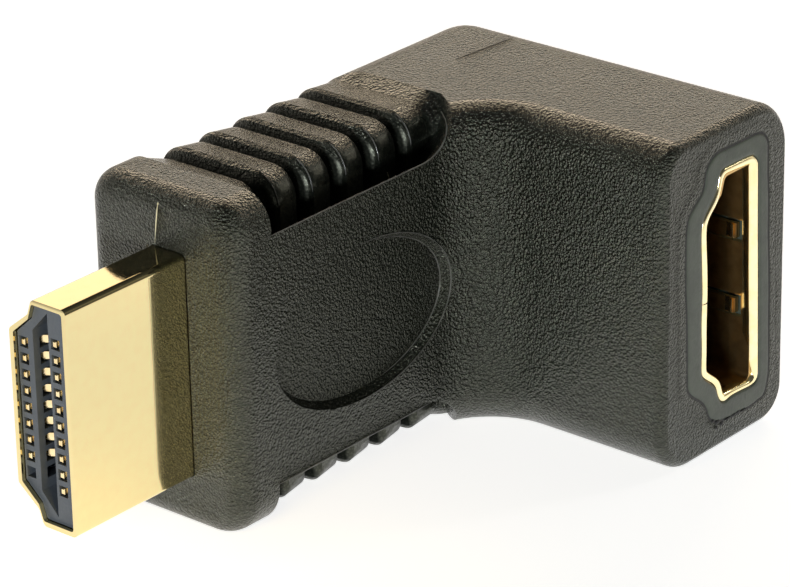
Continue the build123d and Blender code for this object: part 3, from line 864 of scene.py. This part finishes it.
# %% Sprung finger tips
FINGER_BEND = [(2.12, 1.9), (2.06, 1.55), (1.92, 1.3), (1.74, 1.18), (1.66, 1.16)]
FINGER_HEIGHTS = ((12.5, 13.4), (7.65, 8.6))
FINGER_SHEET = 0.1
FINGER_LEAN = 0.3
points, faces = [], []
for z_low, z_high in FINGER_HEIGHTS:
    start = len(points)
    for x, depth in FINGER_BEND:
        for across, z in ((0, z_low), (0, z_high), (FINGER_SHEET, z_high), (FINGER_SHEET, z_low)):
            points.append(on_face(x - across, depth - across * FINGER_LEAN, z))
    end = len(points)
    faces += faces_between(start, len(FINGER_BEND), 4)
    faces.append((end - 4, end - 3, end - 2, end - 1))
    faces.append((start + 3, start + 2, start + 1, start))
new_piece("finger_tips", points, faces, "gold_shell", FINISHES["contact_gold"], smooth=False)

# %% [markdown]
# Contacts seen in the plug
#
# Each window of the plug's insulator shows the bright end of its contact. The real
# ends are folded spring metal, of which only the front shows. A small block with a
# bevelled front is therefore enough, and the bevel gives it the light edge that a
# folded end has. One loop sets them at the contacts' pitch, in a wide and a narrow
# row.

# %% Contact ends
CONTACT_PITCH = 1.0
END_FRONT_X = PLUG_TIP_X + 0.36
END_REAR_X = PLUG_TIP_X + 0.7
END_BELOW, END_ABOVE = 0.23, 0.14
END_BEVEL = 0.05
END_RINGS = ((END_FRONT_X, END_BEVEL), (END_FRONT_X + END_BEVEL, 0), (END_REAR_X, 0))
CONTACT_ROWS = {
    "contact_ends_wide": (-1.02, -0.76, 10, MID_Z - 4.5),
    "contact_ends_narrow": (1.42, 1.68, 8, MID_Z - 3),
}
for name, (y_low, y_high, count, first_z) in CONTACT_ROWS.items():
    points, faces = [], []
    for index in range(count):
        start = len(points)
        height = first_z + index * CONTACT_PITCH
        for x, inset in END_RINGS:
            front, back = y_low + inset, y_high - inset
            below, above = height - END_BELOW + inset, height + END_ABOVE - inset
            points += [(x, front, below), (x, back, below), (x, back, above), (x, front, above)]
        faces.append((start + 3, start + 2, start + 1, start))
        faces += faces_between(start, len(END_RINGS), 4)
    new_piece(name, points, faces, "contact_gold", smooth=False)

# %% [markdown]
# Mould marks
#
# Where the halves of the outer mould met, a pale hair of flash runs down the
# collar's end face and ends in a pip, and a dark one crosses the corner block. One
# rib has a short scratch. Such marks are often painted into a texture. As threads
# they stand a little proud, so they catch light and throw shadow as real ones do.

# %% Flash lines and a scratch
PLUG_REACH = 9.6
COLLAR_END_X = PLUG_TIP_X + PLUG_REACH
END_FLASH = [
    (COLLAR_END_X - 0.005, -0.34, 20.1), (COLLAR_END_X - 0.01, -0.24, 19.6),
    (COLLAR_END_X - 0.01, -0.11, 18.7), (COLLAR_END_X - 0.005, 0.04, 17.55),
]
END_FLASH_RADIUS = 0.04
END_PIP = ((COLLAR_END_X, -0.33, 20.05), (0.05, 0.05, 0.08))
TOP_FLASH_RADIUS = 0.016
TOP_FLASH = [
    (x, y, TOP_Z - TOP_FLASH_RADIUS)
    for x, y in ((3.54, -1.11), (2.3, -1.0), (1.08, -0.89), (-0.67, -0.73), (-1.9, -0.61))
]
SCRATCH = [(-12.43, -3.96, 17.79), (-12.33, -3.97, 17.45), (-12.25, -3.96, 17.10)]
SCRATCH_RADIUS = 0.025
pale_flash = smooth_moulding("pale_flash", (0.75, 0.70, 0.50), (0.50, 0.46, 0.30), 0.3)
thread("end_flash", [END_FLASH], END_FLASH_RADIUS, "overmould", pale_flash)
lumps("end_flash_pip", [END_PIP], "overmould", pale_flash)
thread("top_flash", [TOP_FLASH], TOP_FLASH_RADIUS, "overmould", dark_gap)
thread("rib_scratch", [SCRATCH], SCRATCH_RADIUS, "overmould", pale_flash)

# %% [markdown]
# Beads round the bends of the ribs, with painted highlights
#
# Each groove is cut sharply into the tool, so a fine bead runs round the bend of
# every rib and catches the light. The ribs' edges could be bevelled for it. A thread
# is steadier, because its width doesn't depend on how the moulding was meshed there.
# Its plastic is painted far lighter than the black skin, a painted highlight along
# the bead.

# %% Beads with painted highlights on the ribs
GROOVE_PITCH = 2.93
FIRST_GROOVE_X = -22.62
GROOVES = [FIRST_GROOVE_X + index * GROOVE_PITCH for index in range(5)]
RIM_RADIUS = 1.93
BEAD_BESIDE = 0.66
BEAD_RADIUS = 0.045
BEAD_ANGLES = (22, 90)
BEAD_STEPS = 20


def round_bend(x, radius, start, end, steps):
    """Points round the front bend of a rib, by angle from the upright in degrees."""
    path = []
    for step in range(steps + 1):
        angle = math.radians(start + (end - start) * step / steps)
        path.append((x, BEND_Y - radius * math.sin(angle), BEND_Z + radius * math.cos(angle)))
    return path


# Painted highlight: this plastic is far lighter than the black skin, and it draws the light lines on
# the rib beads, the panel and the oval, and the pips in the grooves.
painted_highlight = smooth_moulding("painted_highlight", (0.12, 0.12, 0.11), (0.06, 0.06, 0.055), 0.16)
beads = [round_bend(x + BEAD_BESIDE, RIM_RADIUS, *BEAD_ANGLES, BEAD_STEPS) for x in GROOVES]
thread("rib_bead_highlights", beads, BEAD_RADIUS, "overmould", painted_highlight)

# %% [markdown]
# Light lines along the panel and the oval
#
# The panel's edges and the recess are a little rounded, and each of them shows a
# soft line of light. A small round on the solids would cost many faces along such
# long edges. The same bright thread follows them instead: straight along the panel,
# up its rise toward the corner, and round the lower and right part of the oval, at
# the rim and at the foot of its wall.

# %% Lines along the panel
PANEL_TOP, PANEL_BASE = 18.5, 3.0
TOP_LINE_X, BASE_LINE_X = -25.6, -25.2
LINE_LENGTH = 14.0
LINE_STEPS = 10
LINE_RADIUS = 0.05
BASE_LINE_INSET = 0.005
RISE_X = TOP_LINE_X + LINE_LENGTH
RISE_RADIUS = 3.2
RISE_ANGLE = 70
PANEL_ROUND_Z, PANEL_ROUND = 18.8, 2.1


def line_x(start_x, step):
    """Where a straight line is after so many of its steps."""
    return start_x + LINE_LENGTH * step / LINE_STEPS


def panel_y(z):
    """Where the panel's face is at a height, as its upper rim rounds back."""
    over = max(0, z - PANEL_ROUND_Z)
    return PANEL_Y + PANEL_ROUND - math.sqrt(PANEL_ROUND ** 2 - over ** 2)


top_line = [(line_x(TOP_LINE_X, step), PANEL_Y, PANEL_TOP) for step in range(LINE_STEPS + 1)]
for step in range(1, LINE_STEPS + 1):
    angle = math.radians(RISE_ANGLE * step / LINE_STEPS)
    z = PANEL_TOP + RISE_RADIUS * (1 - math.cos(angle))
    top_line.append((RISE_X + RISE_RADIUS * math.sin(angle), panel_y(z), z))
base_y = PANEL_Y + BASE_LINE_INSET
base_line = [(line_x(BASE_LINE_X, step), base_y, PANEL_BASE) for step in range(LINE_STEPS + 1)]
thread("panel_edge_lines", [top_line, base_line], LINE_RADIUS, "overmould", painted_highlight)

# %% Lines round the oval
OVAL_LINE_POINTS = 60
OVAL_LINE_RADIUS = 0.04
OVAL_FOOT_DEPTH = OVAL_DEPTH - 0.02
oval_lines = [
    oval(0.0, -100, 95, OVAL_LINE_POINTS),
    oval(OVAL_FOOT_DEPTH, -75, 80, OVAL_LINE_POINTS),
]
thread("oval_edge_lines", oval_lines, OVAL_LINE_RADIUS, "overmould", painted_highlight)

# %% [markdown]
# Painted sparkles in the grooves
#
# A row of tiny pips stands in each groove beside the bead, in the same light plastic
# as the bead, as painted sparkles down the groove. No two are the same size. A
# particle system could scatter them, but they sit in a row, so a loop places them and
# a seeded random number sizes each one. The seed makes every run draw the same pips.

# %% Painted sparkle pips in the grooves
PIP_SEED = 7
FLOOR_RADIUS = 1.2
PIP_BESIDE = 0.28
PIP_ANGLES = (5, 90)
PIP_STEPS = 17
PIP_SMALLEST, PIP_LARGEST = 0.012, 0.045
draw = random.Random(PIP_SEED)
pips = []
for x in GROOVES:
    for centre in round_bend(x + PIP_BESIDE, FLOOR_RADIUS, *PIP_ANGLES, PIP_STEPS):
        size = draw.uniform(PIP_SMALLEST, PIP_LARGEST)
        pips.append((centre, (size, size, size)))
# Painted sparkles: the pips take the same painted-highlight plastic as the beads.
lumps("groove_sparkle_pips", pips, "overmould", painted_highlight, rings=4, sides=6)

# %% [markdown]
# The floor
#
# The adapter stands on a white table. To the camera the table is nearly white by
# itself, and the light that it receives is added to that, so the soft shadow stays
# on it. A brighter lamp would whiten the table too, but it would also bleach the
# adapter. So the table glows, and only for rays that look at it: fully for the
# camera, and for mirrored rays less and less further out, because the grained sides
# mirror the table and should darken upward.

# %% Floor mesh
HALF_FLOOR = 1.5
CORNERS = ((-1, -1), (1, -1), (1, 1), (-1, 1))
floor_mesh = bpy.data.meshes.new("floor")
floor_mesh.from_pydata([(x * HALF_FLOOR, y * HALF_FLOOR, 0) for x, y in CORNERS], [], [(0, 1, 2, 3)])
floor = put_in_scene("floor", floor_mesh)
print("floor:", 2 * HALF_FLOOR, "m wide")


# %% Which ray is looking
def ray(tree, kind):
    """One for a ray of this kind, zero for any other."""
    return tree.nodes.new("ShaderNodeLightPath").outputs[kind]


# %% Floor finish
FLOOR_WHITE = (0.9, 0.9, 0.9, 1)
GLOW_WHITE = (1, 1, 1, 1)
CAMERA_GLOW = 0.79
NEAR_GLOW, FAR_GLOW = 0.93, 0.08
GLOW_FULL_TO, GLOW_FAINT_FROM = 0.05, 0.16
floor_finish, tree, shader = new_finish("floor_white")
shader.inputs["Base Color"].default_value = FLOOR_WHITE
shader.inputs["Roughness"].default_value = 1.0
shader.inputs["Specular IOR Level"].default_value = 0.0
shader.inputs["Emission Color"].default_value = GLOW_WHITE
place = tree.nodes.new("ShaderNodeTexCoord").outputs["Object"]
distance = vector_maths(tree, "LENGTH", place)["Value"]
table_glow = fade(tree, distance, GLOW_FULL_TO, GLOW_FAINT_FROM, NEAR_GLOW, FAR_GLOW)
mirror_ray = maths(tree, "MAXIMUM", ray(tree, "Is Glossy Ray"), ray(tree, "Is Transmission Ray"))
mirrored = maths(tree, "MULTIPLY", table_glow, mirror_ray)
glow = maths(tree, "ADD", mirrored, maths(tree, "MULTIPLY", ray(tree, "Is Camera Ray"), CAMERA_GLOW))
join(tree, glow, shader.inputs["Emission Strength"])
floor_mesh.materials.append(floor_finish)

# %% [markdown]
# The room
#
# Behind the table a warm white sweep rises a little way, and the room above it and
# in front is dim. A picture of a real studio could be wrapped round the scene for
# this. A few sums on the direction of a ray are plainer: how far up it points, and
# how far toward the sweep. The dim room is what gives the black plastic its form:
# everything that turns up toward it falls dark. The camera itself sees plain white.

# %% World
SWEEP_TOP = math.sin(math.radians(22))
ROOM_START = math.sin(math.radians(36))
SWEEP_SIDE = (0.76, 0.65, 0)
ROOM_GREY = (0.075, 0.078, 0.075)
SWEEP_WARM = (1.0, 0.94, 0.82)
WHITE = (1.0, 1.0, 1.0)
world = bpy.data.worlds.new("studio")
bpy.context.scene.world = world
world.use_nodes = True
tree = world.node_tree
direction = tree.nodes.new("ShaderNodeTexCoord").outputs["Generated"]
upward = add_node(tree, "ShaderNodeSeparateXYZ", Vector=direction).outputs["Z"]
sweepward = vector_maths(tree, "DOT_PRODUCT", direction, SWEEP_SIDE)["Value"]
low_enough = fade(tree, upward, SWEEP_TOP, ROOM_START, 1.0, 0.0)
sweep = maths(tree, "MULTIPLY", low_enough, fade(tree, sweepward, 0.0, 0.5))
shown = maths(tree, "MAXIMUM", maths(tree, "MULTIPLY", sweep, 0.5), ray(tree, "Is Camera Ray"))
surround = ramp(tree, shown, [(0.0, ROOM_GREY), (0.5, SWEEP_WARM), (1.0, WHITE)])
background = tree.nodes["Background"]
join(tree, surround, background.inputs["Color"])
background.inputs["Strength"].default_value = 1.0
print("world:", world.name)

# %% [markdown]
# The lamps
#
# Plastic shows its lamps as patches of shine, so soft boxes are used and no bare
# bulbs. A large warm one behind lies mirrored in every level top. A small cool one,
# low in front, lights the walls of the grooves and the collar. A third one, high on
# the right, draws the edges. The last is a faint warm glow in front of the collar,
# where on the real adapter the gold throws light onto the black. Following that
# light path itself would take far more samples. Their places are in metres.


# %% Lamps
def soft_box(name, place, aim, size, power, colour):
    """An oblong area lamp at a place, turned to its aim."""
    data = bpy.data.lights.new(name, "AREA")
    data.shape = "RECTANGLE"
    data.size, data.size_y = size
    data.energy = power
    data.color = colour
    lamp = put_in_scene(name, data)
    lamp.location = place
    lamp.rotation_euler = (Vector(aim) - Vector(place)).to_track_quat("-Z", "Y").to_euler()
    print("lamp:", name, power, "W")
    return lamp


middle = (cad_low + cad_high) / 2
soft_box("back_box", place=(0.46, 0.39, 0.26), aim=middle,
         size=(0.60, 0.30), power=2.0, colour=(1.0, 0.79, 0.57))
soft_box("front_box", place=(-0.507, -0.242, 0.035), aim=middle,
         size=(0.12, 0.05), power=2.6, colour=(0.90, 0.95, 1.0))
soft_box("edge_box", place=(0.42, -0.25, 0.35), aim=middle,
         size=(0.06, 0.06), power=0.15, colour=(1.0, 0.97, 0.92))
glow_box = soft_box("plug_glow", place=(-0.0400, -0.0130, 0.0120), aim=(-0.028, -0.003, 0.0105),
                    size=(0.008, 0.012), power=0.0016, colour=(1.0, 0.72, 0.25))
glow_box.visible_glossy = False

# %% [markdown]
# Picture settings
#
# The standard view shows colours about as they are written, which suits an object
# that will be lit again elsewhere. Blender's filmic view would soften the whites and
# grey the floor. Nothing that was added may make it larger.

# %% Picture settings
bpy.context.scene.view_settings.view_transform = "Standard"
